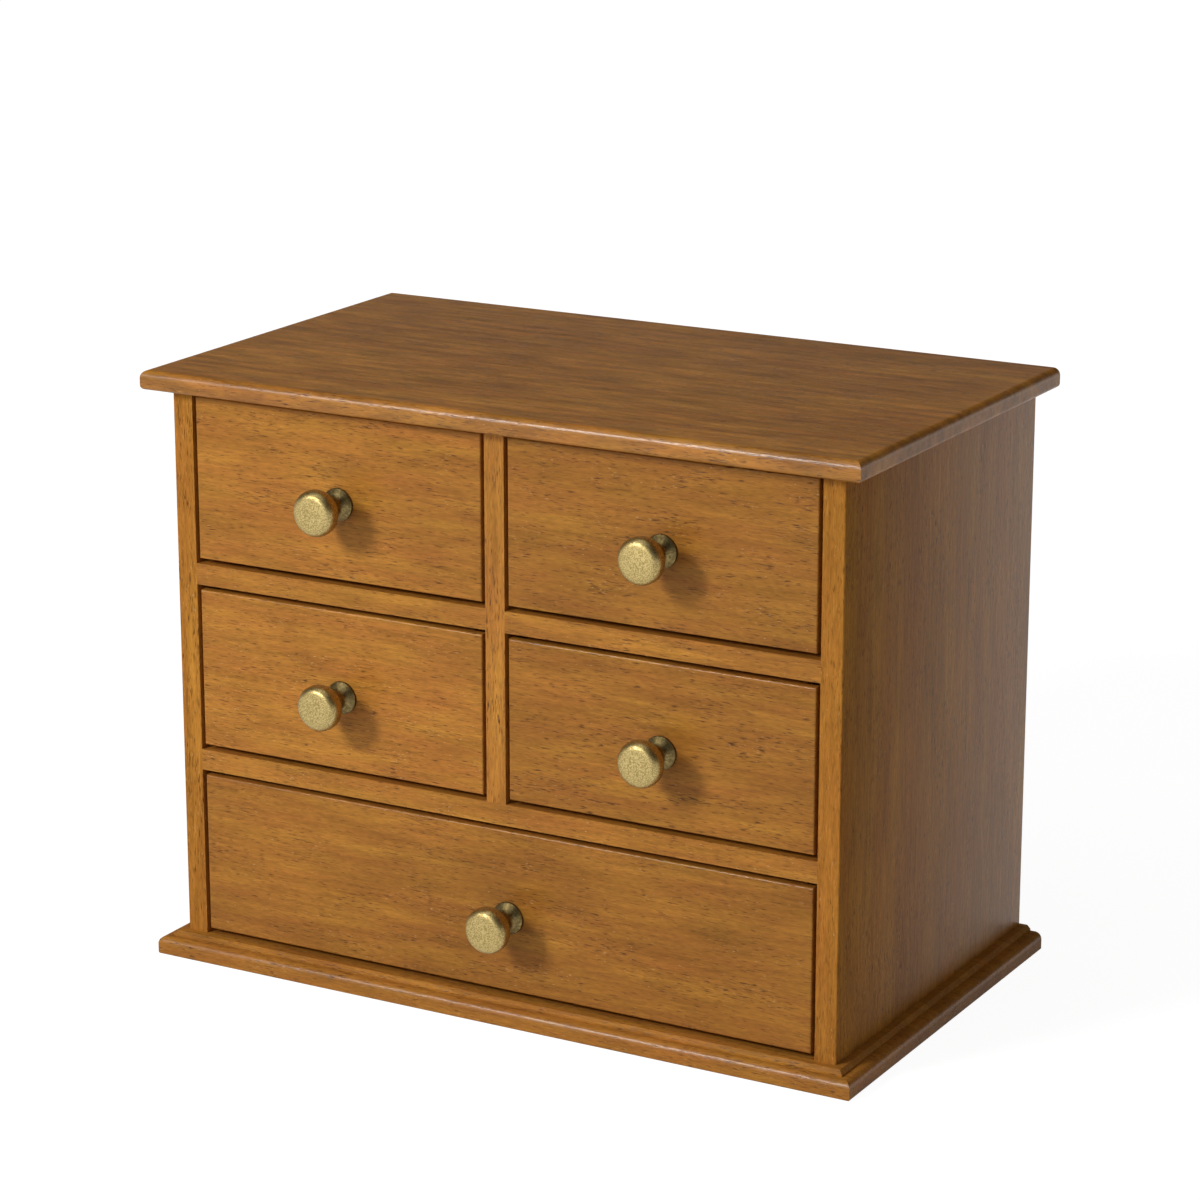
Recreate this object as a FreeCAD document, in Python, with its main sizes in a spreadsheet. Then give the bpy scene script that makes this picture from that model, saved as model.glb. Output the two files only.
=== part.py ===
import FreeCAD, Part
import os
import Sketcher

# Desktop chest of mini drawers, in millimetres.
# Two columns of two small drawers stand above one full-width drawer.
# The origin is the middle of the base board's underside, the drawers open towards -Y and +Z is up.

DIMENSIONS = {
    # Boards of the case
    "bay_width": 182.0,
    "upper_bay_height": 95.5,
    "middle_bay_height": 93.8,
    "lower_bay_height": 95.5,
    "case_depth": 233.3,
    "panel_thick": 12.3,
    "divider_thick": 11.6,
    "shelf_thick": 11.7,
    "panel_round": 1.0,
    "back_thick": 4.0,
    "back_lap": 6.0,
    # Stopped housings that join the boards
    "tongue": 3.5,
    "tongue_play": 0.1,
    "tongue_stop": 12.0,
    # Top board
    "top_thick": 10.6,
    "top_round": 4.0,
    "top_under_round": 2.4,
    "side_overhang": 13.1,
    "front_overhang": 11.5,
    "rear_overhang": 1.5,
    # Base board with the step that the case stands on
    "base_thick": 10.2,
    "base_round": 4.0,
    "base_under_round": 1.2,
    "step_height": 3.0,
    "step_reach": 6.3,
    "step_bevel": 2.0,
    # Gaps round a drawer
    "side_gap": 2.2,
    "top_gap": 2.8,
    "bottom_gap": 3.1,
    "running_gap": 0.4,
    "rear_gap": 0.5,
    # Drawer front
    "front_thick": 12.0,
    "front_round": 0.9,
    "lap_depth": 7.0,
    # Drawer box
    "box_side_thick": 8.0,
    "box_side_drop": 6.0,
    "foot_start": 2.0,
    "box_back_thick": 8.0,
    "box_back_drop": 4.0,
    "box_tail": 6.0,
    "housing_depth": 3.0,
    "bottom_thick": 3.0,
    "bottom_rise": 3.0,
    "groove_depth": 4.0,
    "groove_play": 0.1,
    # Turned knob with the stud that holds it in the front
    "knob_diameter": 25.0,
    "knob_reach": 27.2,
    "knob_face_diameter": 18.4,
    "knob_face_bevel": 2.4,
    "knob_rim": 4.6,
    "knob_rear_bevel": 2.5,
    "knob_rear_diameter": 19.0,
    "knob_neck_diameter": 9.2,
    "knob_flange_diameter": 18.0,
    "knob_flange_thick": 2.2,
    "knob_shift": 1.3,
    "wide_knob_shift": 7.0,
    "knob_drop": 3.5,
    "stud_diameter": 4.0,
    "stud_length": 9.0,
    "stud_play": 0.1,
    "stud_end_play": 0.6,
}

# Formulas that several pieces share
PANEL_WIDTH = "(2 * dims.bay_width + dims.divider_thick)"
CASE_WIDTH = f"({PANEL_WIDTH} + 2 * dims.panel_thick)"
TOTAL_WIDTH = f"({CASE_WIDTH} + 2 * dims.side_overhang)"
TOTAL_DEPTH = "(dims.front_overhang + dims.case_depth + dims.rear_overhang)"
SHELF_DEPTH = "(dims.case_depth - dims.back_thick)"
FRONT_Y = f"(dims.front_overhang - {TOTAL_DEPTH} / 2)"
LOWER_FLOOR = "(dims.base_thick + dims.step_height)"
LOWER_SHELF = f"({LOWER_FLOOR} + dims.lower_bay_height)"
MIDDLE_FLOOR = f"({LOWER_SHELF} + dims.shelf_thick)"
UPPER_SHELF = f"({MIDDLE_FLOOR} + dims.middle_bay_height)"
UPPER_FLOOR = f"({UPPER_SHELF} + dims.shelf_thick)"
TOP_UNDERSIDE = f"({UPPER_FLOOR} + dims.upper_bay_height)"
PANEL_HEIGHT = f"({TOP_UNDERSIDE} - {LOWER_FLOOR})"
DIVIDER_HEIGHT = f"({TOP_UNDERSIDE} - {MIDDLE_FLOOR})"
LEFT_BAY = f"(-{PANEL_WIDTH} / 2)"
RIGHT_BAY = "(dims.divider_thick / 2)"
HOUSING = "(dims.tongue + dims.tongue_play)"
HOUSING_LENGTH = f"({SHELF_DEPTH} - dims.tongue_stop)"
SIDE_START = "(dims.front_thick - dims.lap_depth)"
BOX_END = f"({SHELF_DEPTH} - dims.rear_gap)"
BOX_LENGTH = f"({BOX_END} - {SIDE_START})"
SIDE_FOOT = "(dims.bottom_gap - dims.running_gap)"
GROOVE_HEIGHT = "(dims.bottom_thick + dims.groove_play)"
BOTTOM_TOP = "(dims.bottom_rise + dims.bottom_thick)"

# Tolerance and points for finding edges, and the volume unit of the printed list
SAME_PLACE = 1e-6
EDGE_POINTS = 3
CUBIC_CM = 1000

doc = FreeCAD.newDocument("mini_drawers")
sheet = doc.addObject("Spreadsheet::Sheet", "dims")
for row, (alias, number) in enumerate(DIMENSIONS.items(), start=1):
    sheet.set(f"A{row}", alias)
    sheet.set(f"B{row}", str(number))
    sheet.setAlias(f"B{row}", alias)
doc.recompute()

pieces = []


# Helpers for bodies, sketches and features

def value(formula):
    """The number that a formula gives with the sheet's present sizes."""
    return float(sheet.evalExpression(formula))


def new_body(name, x="0", y="0", z="0"):
    """A body whose own corner or axis is placed by three formulas."""
    body = doc.addObject("PartDesign::Body", name)
    body.Label = name
    for axis, formula in (("x", x), ("y", y), ("z", z)):
        body.setExpression(f"Placement.Base.{axis}", formula)
    pieces.append(body)
    return body


def origin_part(body, role):
    """One of the planes or axes of the body's own origin."""
    return next(item for item in body.Origin.OriginFeatures if item.Role == role)


def new_sketch(body, name, plane, height="0"):
    """An empty sketch on one of the body's origin planes, moved along the plane's normal."""
    sketch = body.newObject("Sketcher::SketchObject", name)
    sketch.AttachmentSupport = [(origin_part(body, plane), "")]
    sketch.MapMode = "FlatFace"
    sketch.setExpression("AttachmentOffset.Base.z", height)
    return sketch


def bind_point(sketch, geometry, vertex, x, y):
    """Ties a point of the sketch to a formula for each coordinate."""
    for kind, axis, formula in (("DistanceX", -2, x), ("DistanceY", -1, y)):
        if formula == "0":
            sketch.addConstraint(Sketcher.Constraint("PointOnObject", geometry, vertex, axis))
            continue
        constraint = Sketcher.Constraint(kind, -1, 1, geometry, vertex, value(formula))
        index = sketch.addConstraint(constraint)
        label = f"{kind}_{geometry}_{vertex}"
        sketch.renameConstraint(index, label)
        sketch.setExpression(f"Constraints.{label}", formula)


def add_outline(sketch, corners):
    """Adds a closed outline of straight sides, with a pair of formulas for each corner."""
    first = sketch.GeometryCount
    places = [FreeCAD.Vector(value(x), value(y), 0) for x, y in corners]
    for start, end in zip(places, places[1:] + places[:1]):
        sketch.addGeometry(Part.LineSegment(start, end))
    for number, (x, y) in enumerate(corners):
        following = first + (number + 1) % len(corners)
        sketch.addConstraint(Sketcher.Constraint("Coincident", first + number, 2, following, 1))
        bind_point(sketch, first + number, 1, x, y)


def add_rectangle(sketch, x, y, width, depth):
    """Adds a rectangle by its lower left corner and its two sizes."""
    right = f"({x} + {width})"
    far = f"({y} + {depth})"
    add_outline(sketch, [(x, y), (right, y), (right, far), (x, far)])


def add_circle(sketch, x, y, diameter):
    """Adds a circle by its centre and diameter."""
    centre = FreeCAD.Vector(value(x), value(y), 0)
    circle = Part.Circle(centre, FreeCAD.Vector(0, 0, 1), value(diameter) / 2)
    geometry = sketch.addGeometry(circle)
    bind_point(sketch, geometry, 3, x, y)
    index = sketch.addConstraint(Sketcher.Constraint("Diameter", geometry, value(diameter)))
    sketch.renameConstraint(index, f"diameter_{geometry}")
    sketch.setExpression(f"Constraints.diameter_{geometry}", diameter)


def extrude(body, kind, name, sketch, length, reverse=False):
    """Pads or pockets a sketch by a formula for its length."""
    feature = body.newObject(f"PartDesign::{kind}", name)
    feature.Profile = sketch
    feature.setExpression("Length", length)
    feature.Reversed = reverse
    doc.recompute()
    return feature


def turn(body, name, sketch):
    """Turns a profile round its sketch's upright axis."""
    feature = body.newObject("PartDesign::Revolution", name)
    feature.Profile = sketch
    feature.ReferenceAxis = (sketch, ["V_Axis"])
    doc.recompute()
    return feature


def edges_at(feature, **place):
    """Names of the edges that lie at the given coordinates of the body all along."""
    names = []
    for number, edge in enumerate(feature.Shape.Edges, start=1):
        if edge.Degenerated:
            continue
        points = edge.discretize(EDGE_POINTS)
        if all(abs(getattr(point, axis) - value(formula)) < SAME_PLACE
               for point in points for axis, formula in place.items()):
            names.append(f"Edge{number}")
    return names


def dress(body, kind, name, feature, size, places):
    """Rounds or bevels the edges of a feature that lie at the given places."""
    names = [edge for place in places for edge in edges_at(feature, **place)]
    dressed = body.newObject(f"PartDesign::{kind}", name)
    dressed.Base = (feature, names)
    dressed.setExpression("Radius" if kind == "Fillet" else "Size", size)
    doc.recompute()
    return dressed


def three_sides(width, height):
    """The left, front and right edges of a board at one height."""
    return [{"x": "0", "z": height}, {"y": "0", "z": height}, {"x": width, "z": height}]


# Case

def make_top_board():
    """Top board: a large round above, a small one below, housings for the three uprights."""
    body = new_body("top_board", f"-{TOTAL_WIDTH} / 2", f"-{TOTAL_DEPTH} / 2", TOP_UNDERSIDE)
    plan = new_sketch(body, "top_plan", "XY_Plane")
    add_rectangle(plan, "0", "0", TOTAL_WIDTH, TOTAL_DEPTH)
    slab = extrude(body, "Pad", "top_slab", plan, "dims.top_thick")
    upper = dress(body, "Fillet", "top_upper_round", slab, "dims.top_round",
                  three_sides(TOTAL_WIDTH, "dims.top_thick"))
    dress(body, "Fillet", "top_lower_round", upper, "dims.top_under_round",
          three_sides(TOTAL_WIDTH, "0"))
    housings = new_sketch(body, "top_housings", "XY_Plane")
    add_panel_housings(housings)
    add_rectangle(housings, f"({TOTAL_WIDTH} / 2 - dims.divider_thick / 2)",
                  "(dims.front_overhang + dims.tongue_stop)", "dims.divider_thick", HOUSING_LENGTH)
    extrude(body, "Pocket", "top_housing", housings, HOUSING, reverse=True)


def add_panel_housings(sketch):
    """Adds the plans of the two stopped housings for the side panels to a board's sketch."""
    for x in ("dims.side_overhang",
              f"({TOTAL_WIDTH} - dims.side_overhang - dims.panel_thick)"):
        add_rectangle(sketch, x, "(dims.front_overhang + dims.tongue_stop)", "dims.panel_thick",
                      HOUSING_LENGTH)


def make_base_board():
    """Base board: a slab with rounded edges, a bevelled step on it, housings for the panels."""
    body = new_body("base_board", f"-{TOTAL_WIDTH} / 2", f"-{TOTAL_DEPTH} / 2")
    plan = new_sketch(body, "base_plan", "XY_Plane")
    add_rectangle(plan, "0", "0", TOTAL_WIDTH, TOTAL_DEPTH)
    slab = extrude(body, "Pad", "base_slab", plan, "dims.base_thick")
    upper = dress(body, "Fillet", "base_upper_round", slab, "dims.base_round",
                  three_sides(TOTAL_WIDTH, "dims.base_thick"))
    dress(body, "Fillet", "base_lower_round", upper, "dims.base_under_round",
          three_sides(TOTAL_WIDTH, "0"))
    step_x = "(dims.side_overhang - dims.step_reach)"
    step_y = "(dims.front_overhang - dims.step_reach)"
    step_width = f"({CASE_WIDTH} + 2 * dims.step_reach)"
    step_plan = new_sketch(body, "step_plan", "XY_Plane", "dims.base_thick")
    add_rectangle(step_plan, step_x, step_y, step_width, f"({TOTAL_DEPTH} - {step_y})")
    step = extrude(body, "Pad", "step", step_plan, "dims.step_height")
    dress(body, "Chamfer", "step_bevel", step, "dims.step_bevel",
          [{"x": step_x, "z": LOWER_FLOOR}, {"y": step_y, "z": LOWER_FLOOR},
           {"x": f"({step_x} + {step_width})", "z": LOWER_FLOOR}])
    housings = new_sketch(body, "base_housings", "XY_Plane", LOWER_FLOOR)
    add_panel_housings(housings)
    extrude(body, "Pocket", "base_housing", housings, HOUSING)


def make_side_panel(side):
    """Side panel: tongues above and below, round front corner, back rebate, shelf housings."""
    name = f"side_panel_{side}"
    on_left = side == "left"
    body = new_body(name, f"-{CASE_WIDTH} / 2" if on_left else f"{PANEL_WIDTH} / 2",
                    FRONT_Y, LOWER_FLOOR)
    outer = "0" if on_left else "dims.panel_thick"
    inner = "dims.panel_thick" if on_left else "0"
    face = new_sketch(body, f"{name}_face", "YZ_Plane")
    add_outline(face, upright_outline("dims.case_depth", PANEL_HEIGHT))
    board = extrude(body, "Pad", f"{name}_board", face, "dims.panel_thick")
    dress(body, "Fillet", f"{name}_corner", board, "dims.panel_round", [{"x": outer, "y": "0"}])
    rebate = new_sketch(body, f"{name}_rebate_plan", "XY_Plane")
    rebate_x = "(dims.panel_thick - dims.back_lap)" if on_left else "0"
    add_rectangle(rebate, rebate_x, SHELF_DEPTH, "dims.back_lap", "dims.back_thick")
    extrude(body, "Pocket", f"{name}_rebate", rebate, PANEL_HEIGHT, reverse=True)
    housings = new_sketch(body, f"{name}_housings", "YZ_Plane", inner)
    for level in (LOWER_SHELF, UPPER_SHELF):
        add_rectangle(housings, "dims.tongue_stop", f"({level} - {LOWER_FLOOR})", HOUSING_LENGTH,
                      "dims.shelf_thick")
    extrude(body, "Pocket", f"{name}_housing", housings, HOUSING, reverse=not on_left)


def upright_outline(depth, height):
    """Side view of an upright board whose ends carry tongues that stop behind its front edge."""
    foot = "(-dims.tongue)"
    head = f"({height} + dims.tongue)"
    return [("0", "0"), ("dims.tongue_stop", "0"), ("dims.tongue_stop", foot),
            (SHELF_DEPTH, foot), (SHELF_DEPTH, "0"), (depth, "0"), (depth, height),
            (SHELF_DEPTH, height), (SHELF_DEPTH, head), ("dims.tongue_stop", head),
            ("dims.tongue_stop", height), ("0", height)]


def make_shelf(name, x, z, width):
    """Shelf with a stopped tongue at each end; its front edge shows between the drawers."""
    body = new_body(name, x, FRONT_Y, z)
    plan = new_sketch(body, f"{name}_plan", "XY_Plane")
    left = "(-dims.tongue)"
    right = f"({width} + dims.tongue)"
    add_outline(plan, [("0", "0"), (width, "0"), (width, "dims.tongue_stop"),
                       (right, "dims.tongue_stop"), (right, SHELF_DEPTH), (left, SHELF_DEPTH),
                       (left, "dims.tongue_stop"), ("0", "dims.tongue_stop")])
    extrude(body, "Pad", f"{name}_board", plan, "dims.shelf_thick")
    return body


def make_lower_shelf():
    """Full-width shelf with a stopped housing for the divider's foot."""
    body = make_shelf("lower_shelf", LEFT_BAY, LOWER_SHELF, PANEL_WIDTH)
    housing = new_sketch(body, "divider_housing_plan", "XY_Plane", "dims.shelf_thick")
    add_rectangle(housing, "dims.bay_width", "dims.tongue_stop", "dims.divider_thick",
                  HOUSING_LENGTH)
    extrude(body, "Pocket", "divider_housing", housing, HOUSING)


def make_divider():
    """Upright board between the drawer columns, tongued at both ends and housed on both sides."""
    body = new_body("divider", "-dims.divider_thick / 2", FRONT_Y, MIDDLE_FLOOR)
    face = new_sketch(body, "divider_face", "YZ_Plane")
    foot = "(-dims.tongue)"
    head = f"({DIVIDER_HEIGHT} + dims.tongue)"
    add_outline(face, [("0", "0"), ("dims.tongue_stop", "0"), ("dims.tongue_stop", foot),
                       (SHELF_DEPTH, foot), (SHELF_DEPTH, head), ("dims.tongue_stop", head),
                       ("dims.tongue_stop", DIVIDER_HEIGHT), ("0", DIVIDER_HEIGHT)])
    extrude(body, "Pad", "divider_board", face, "dims.divider_thick")
    for side, height, reverse in (("left", "0", True), ("right", "dims.divider_thick", False)):
        housing = new_sketch(body, f"divider_{side}_housing_plan", "YZ_Plane", height)
        add_rectangle(housing, "dims.tongue_stop", "dims.middle_bay_height", HOUSING_LENGTH,
                      "dims.shelf_thick")
        extrude(body, "Pocket", f"divider_{side}_housing", housing, HOUSING, reverse)


def make_back_panel():
    """Thin sheet that closes the back, in the side panels' rebates."""
    width = f"({PANEL_WIDTH} + 2 * dims.back_lap)"
    body = new_body("back_panel", f"-{width} / 2", f"({FRONT_Y} + {SHELF_DEPTH})", LOWER_FLOOR)
    plan = new_sketch(body, "back_plan", "XY_Plane")
    add_rectangle(plan, "0", "0", width, "dims.back_thick")
    extrude(body, "Pad", "back_sheet", plan, PANEL_HEIGHT)


# Drawers

def make_front(drawer, x, z, width, height, shift):
    """Drawer front: round face edges, laps for the sides, groove for the bottom, stud hole."""
    name = f"{drawer}_front"
    body = new_body(name, x, FRONT_Y, z)
    face = new_sketch(body, f"{name}_face", "XZ_Plane")
    add_rectangle(face, "0", "0", width, height)
    board = extrude(body, "Pad", f"{name}_board", face, "dims.front_thick", reverse=True)
    dress(body, "Fillet", f"{name}_round", board, "dims.front_round",
          [{"x": "0", "y": "0"}, {"x": width, "y": "0"}, {"z": "0", "y": "0"},
           {"z": height, "y": "0"}])
    laps = new_sketch(body, f"{name}_laps", "XY_Plane")
    for lap_x in ("0", f"({width} - dims.box_side_thick)"):
        add_rectangle(laps, lap_x, SIDE_START, "dims.box_side_thick", "dims.lap_depth")
    extrude(body, "Pocket", f"{name}_lap", laps, height, reverse=True)
    groove = new_sketch(body, f"{name}_groove_section", "YZ_Plane")
    add_rectangle(groove, "(dims.front_thick - dims.groove_depth)", "dims.bottom_rise",
                  "dims.groove_depth", GROOVE_HEIGHT)
    extrude(body, "Pocket", f"{name}_groove", groove, width, reverse=True)
    centre = new_sketch(body, f"{name}_hole_place", "XZ_Plane")
    add_circle(centre, f"({width} / 2 + {shift})", f"({height} / 2 - dims.knob_drop)",
               "(dims.stud_diameter + 2 * dims.stud_play)")
    extrude(body, "Pocket", f"{name}_hole", centre, "(dims.stud_length + dims.stud_end_play)")


def make_box_side(drawer, side, x, z, width, height):
    """Drawer side: its foot runs on the board below, from behind the front; grooved, housed."""
    name = f"{drawer}_side_{side}"
    on_left = side == "left"
    start = x if on_left else f"({x} + {width} - dims.box_side_thick)"
    body = new_body(name, start, f"({FRONT_Y} + {SIDE_START})", f"({z} - {SIDE_FOOT})")
    side_height = f"({height} + {SIDE_FOOT} - dims.box_side_drop)"
    toe = "(dims.lap_depth + dims.foot_start)"
    face = new_sketch(body, f"{name}_face", "YZ_Plane")
    add_outline(face, [("0", SIDE_FOOT), (toe, SIDE_FOOT), (toe, "0"), (BOX_LENGTH, "0"),
                       (BOX_LENGTH, side_height), ("0", side_height)])
    extrude(body, "Pad", f"{name}_board", face, "dims.box_side_thick")
    groove_x = "(dims.box_side_thick - dims.groove_depth)" if on_left else "0"
    groove = new_sketch(body, f"{name}_groove_section", "XZ_Plane")
    add_rectangle(groove, groove_x, f"({SIDE_FOOT} + dims.bottom_rise)", "dims.groove_depth",
                  GROOVE_HEIGHT)
    extrude(body, "Pocket", f"{name}_groove", groove, BOX_LENGTH)
    housing_x = "(dims.box_side_thick - dims.housing_depth)" if on_left else "0"
    housing = new_sketch(body, f"{name}_housing_plan", "XY_Plane")
    add_rectangle(housing, housing_x, f"({BOX_LENGTH} - dims.box_tail - dims.box_back_thick)",
                  "dims.housing_depth", "dims.box_back_thick")
    extrude(body, "Pocket", f"{name}_housing", housing, side_height, reverse=True)


def make_box_back(drawer, x, z, width, height):
    """Drawer back: held in the sides' housings, above the bottom sheet."""
    name = f"{drawer}_back"
    inset = "(dims.box_side_thick - dims.housing_depth)"
    body = new_body(name, f"({x} + {inset})",
                    f"({FRONT_Y} + {BOX_END} - dims.box_tail - dims.box_back_thick)",
                    f"({z} + {BOTTOM_TOP})")
    plan = new_sketch(body, f"{name}_plan", "XY_Plane")
    add_rectangle(plan, "0", "0", f"({width} - 2 * {inset})", "dims.box_back_thick")
    extrude(body, "Pad", f"{name}_board", plan,
            f"({height} - {BOTTOM_TOP} - dims.box_side_drop - dims.box_back_drop)")


def make_bottom(drawer, x, z, width):
    """Bottom sheet: slides into the grooves from the rear, under the back."""
    name = f"{drawer}_bottom"
    inset = "(dims.box_side_thick - dims.groove_depth)"
    start = "(dims.front_thick - dims.groove_depth)"
    body = new_body(name, f"({x} + {inset})", f"({FRONT_Y} + {start})",
                    f"({z} + dims.bottom_rise)")
    plan = new_sketch(body, f"{name}_plan", "XY_Plane")
    add_rectangle(plan, "0", "0", f"({width} - 2 * {inset})", f"({BOX_END} - {start})")
    extrude(body, "Pad", f"{name}_sheet", plan, "dims.bottom_thick")


def make_knob(drawer, x, z):
    """Turned brass knob: thick head bevelled on both sides, neck, flange and a plain stud."""
    name = f"{drawer}_knob"
    body = new_body(name, x, FRONT_Y, z)
    face = "(dims.knob_face_diameter / 2)"
    head = "(dims.knob_diameter / 2)"
    rear = "(dims.knob_rear_diameter / 2)"
    neck = "(dims.knob_neck_diameter / 2)"
    flange = "(dims.knob_flange_diameter / 2)"
    stud = "(dims.stud_diameter / 2)"
    rim_start = "(dims.knob_face_bevel - dims.knob_reach)"
    rim_end = f"({rim_start} + dims.knob_rim)"
    underside = f"({rim_end} + dims.knob_rear_bevel)"
    flange_edge = "(-dims.knob_flange_thick)"
    profile = new_sketch(body, f"{name}_profile", "XY_Plane")
    add_outline(profile, [("0", "(-dims.knob_reach)"), (face, "(-dims.knob_reach)"),
                          (head, rim_start), (head, rim_end), (rear, underside),
                          (neck, underside), (neck, flange_edge), (flange, flange_edge),
                          (flange, "0"), (stud, "0"), (stud, "dims.stud_length"),
                          ("0", "dims.stud_length")])
    turn(body, f"{name}_turned", profile)


def make_drawer(drawer, bay_x, bay_z, bay_width, bay_height, shift):
    """All the pieces of one drawer, from its bay and the gaps round its front."""
    x = f"({bay_x} + dims.side_gap)"
    z = f"({bay_z} + dims.bottom_gap)"
    width = f"({bay_width} - 2 * dims.side_gap)"
    height = f"({bay_height} - dims.bottom_gap - dims.top_gap)"
    make_front(drawer, x, z, width, height, shift)
    for side in ("left", "right"):
        make_box_side(drawer, side, x, z, width, height)
    make_box_back(drawer, x, z, width, height)
    make_bottom(drawer, x, z, width)
    make_knob(drawer, f"({x} + {width} / 2 + {shift})",
              f"({z} + {height} / 2 - dims.knob_drop)")


# Checks and files

def check_document():
    """Stops if a feature failed, a piece is not valid or a cut took nothing away."""
    for item in doc.Objects:
        if "Invalid" in item.State or "Error" in item.State:
            raise RuntimeError(f"{item.Name} failed: {item.State}")
        if item.TypeId == "PartDesign::Pocket":
            if item.Shape.Volume >= item.BaseFeature.Shape.Volume - SAME_PLACE:
                raise RuntimeError(f"{item.Name} cuts nothing")
    for piece in pieces:
        if piece.Shape.isNull() or not piece.Shape.isValid():
            raise RuntimeError(f"{piece.Label} has no valid shape")


make_top_board()
make_base_board()
make_side_panel("left")
make_side_panel("right")
make_shelf("upper_shelf_left", LEFT_BAY, UPPER_SHELF, "dims.bay_width")
make_shelf("upper_shelf_right", RIGHT_BAY, UPPER_SHELF, "dims.bay_width")
make_lower_shelf()
make_divider()
make_back_panel()
for level, floor, bay_height in (("upper", UPPER_FLOOR, "dims.upper_bay_height"),
                                 ("middle", MIDDLE_FLOOR, "dims.middle_bay_height")):
    for side, bay in (("left", LEFT_BAY), ("right", RIGHT_BAY)):
        make_drawer(f"{level}_{side}", bay, floor, "dims.bay_width", bay_height,
                    "dims.knob_shift")
make_drawer("lower", LEFT_BAY, LOWER_FLOOR, PANEL_WIDTH, "dims.lower_bay_height",
            "dims.wide_knob_shift")
doc.recompute()
check_document()

os.makedirs("parts", exist_ok=True)
for piece in pieces:
    piece.Shape.exportStep(f"parts/{piece.Label}.step")
    volume = piece.Shape.Volume / CUBIC_CM
    print(f"{piece.Label}: {len(piece.Shape.Solids)} solids, {volume:.1f} cm3")
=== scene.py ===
import logging
import math
from dataclasses import dataclass, replace
from enum import Enum

import bpy
from mathutils import Euler, Matrix, Vector


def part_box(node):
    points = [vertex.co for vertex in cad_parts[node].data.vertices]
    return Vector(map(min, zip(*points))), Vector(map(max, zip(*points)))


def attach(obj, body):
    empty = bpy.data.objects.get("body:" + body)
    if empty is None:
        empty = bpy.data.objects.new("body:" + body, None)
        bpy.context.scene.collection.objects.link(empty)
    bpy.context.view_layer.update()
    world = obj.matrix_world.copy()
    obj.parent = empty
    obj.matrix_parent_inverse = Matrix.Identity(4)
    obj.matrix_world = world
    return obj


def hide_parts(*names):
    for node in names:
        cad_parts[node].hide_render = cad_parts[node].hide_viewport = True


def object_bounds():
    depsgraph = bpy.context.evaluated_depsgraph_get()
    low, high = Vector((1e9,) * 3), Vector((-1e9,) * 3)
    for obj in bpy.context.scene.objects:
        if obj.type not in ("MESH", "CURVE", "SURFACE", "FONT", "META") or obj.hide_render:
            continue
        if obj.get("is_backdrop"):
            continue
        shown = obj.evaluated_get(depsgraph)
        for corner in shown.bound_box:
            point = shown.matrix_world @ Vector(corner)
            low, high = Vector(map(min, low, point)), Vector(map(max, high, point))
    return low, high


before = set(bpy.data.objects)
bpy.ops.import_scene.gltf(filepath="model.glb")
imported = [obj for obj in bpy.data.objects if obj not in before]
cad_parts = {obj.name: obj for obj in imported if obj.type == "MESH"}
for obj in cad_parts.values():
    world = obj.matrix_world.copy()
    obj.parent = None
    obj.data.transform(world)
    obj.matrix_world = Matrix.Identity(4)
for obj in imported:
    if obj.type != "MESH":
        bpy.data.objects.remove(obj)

# Desktop chest of mini drawers: its finishes, knobs and small fasteners, and the studio round it.
# Lengths are in metres, as in the frame. A name that ends in _mm is in millimetres.

MM = 0.001
PER_MM = 1000.0
# Each drawer with the tone of its front
DRAWERS = (("upper_left", 0.98), ("upper_right", 0.9), ("middle_left", 1.05), ("middle_right", 0.9),
           ("lower", 0.87))
Links = dict[int | str, object]

logging.basicConfig(level=logging.INFO, format="%(message)s")
log = logging.getLogger("mini_drawers")


class Grain(Enum):
    """Which way a board's fibres run, as the turn that brings them onto a pattern's first axis."""

    ALONG_X = (0.0, 0.0, 0.0)
    ALONG_Y = (0.0, 0.0, -math.pi / 2)
    ALONG_Z = (0.0, math.pi / 2, 0.0)


# Shared helpers

def linear_colour(hex_code: str, tone: float = 1.0) -> tuple[float, float, float, float]:
    """Turns an sRGB hex colour to the linear one that the shaders take.

    Args:
        hex_code: six hex digits, such as "A9702F".
        tone: factor on the linear colour.

    Returns:
        Red, green and blue from 0 up, and an alpha of 1.
    """
    channels = [int(hex_code[start:start + 2], 16) / 255 for start in (0, 2, 4)]
    linear = [c / 12.92 if c <= 0.04045 else ((c + 0.055) / 1.055) ** 2.4 for c in channels]
    return (linear[0] * tone, linear[1] * tone, linear[2] * tone, 1.0)


def add_node(tree: bpy.types.NodeTree, kind: str, inputs: Links | None = None,
             **settings: object) -> bpy.types.Node:
    """Adds a node with its settings and links.

    Args:
        tree: the node tree that gets the node.
        kind: Blender's name for the kind of node.
        inputs: for each input, an output socket to link or a plain value to set.
        settings: the node's own properties.

    Returns:
        The new node.
    """
    node = tree.nodes.new(kind)
    for name, setting in settings.items():
        setattr(node, name, setting)
    for key, source in (inputs or {}).items():
        if isinstance(source, bpy.types.NodeSocket):
            tree.links.new(source, node.inputs[key])
        else:
            node.inputs[key].default_value = source
    return node


def new_tree(name: str) -> tuple[bpy.types.Material, bpy.types.NodeTree]:
    """Makes an empty node material.

    Args:
        name: the material's name.

    Returns:
        The material and its node tree.
    """
    material = bpy.data.materials.new(name)
    material.use_nodes = True
    material.node_tree.nodes.clear()
    return material, material.node_tree


def dress(node: str, material: bpy.types.Material) -> None:
    """Gives a node of the frame its finish.

    Args:
        node: the node's name.
        material: the finish.
    """
    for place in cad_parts[node].material_slots:
        place.material = material


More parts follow.
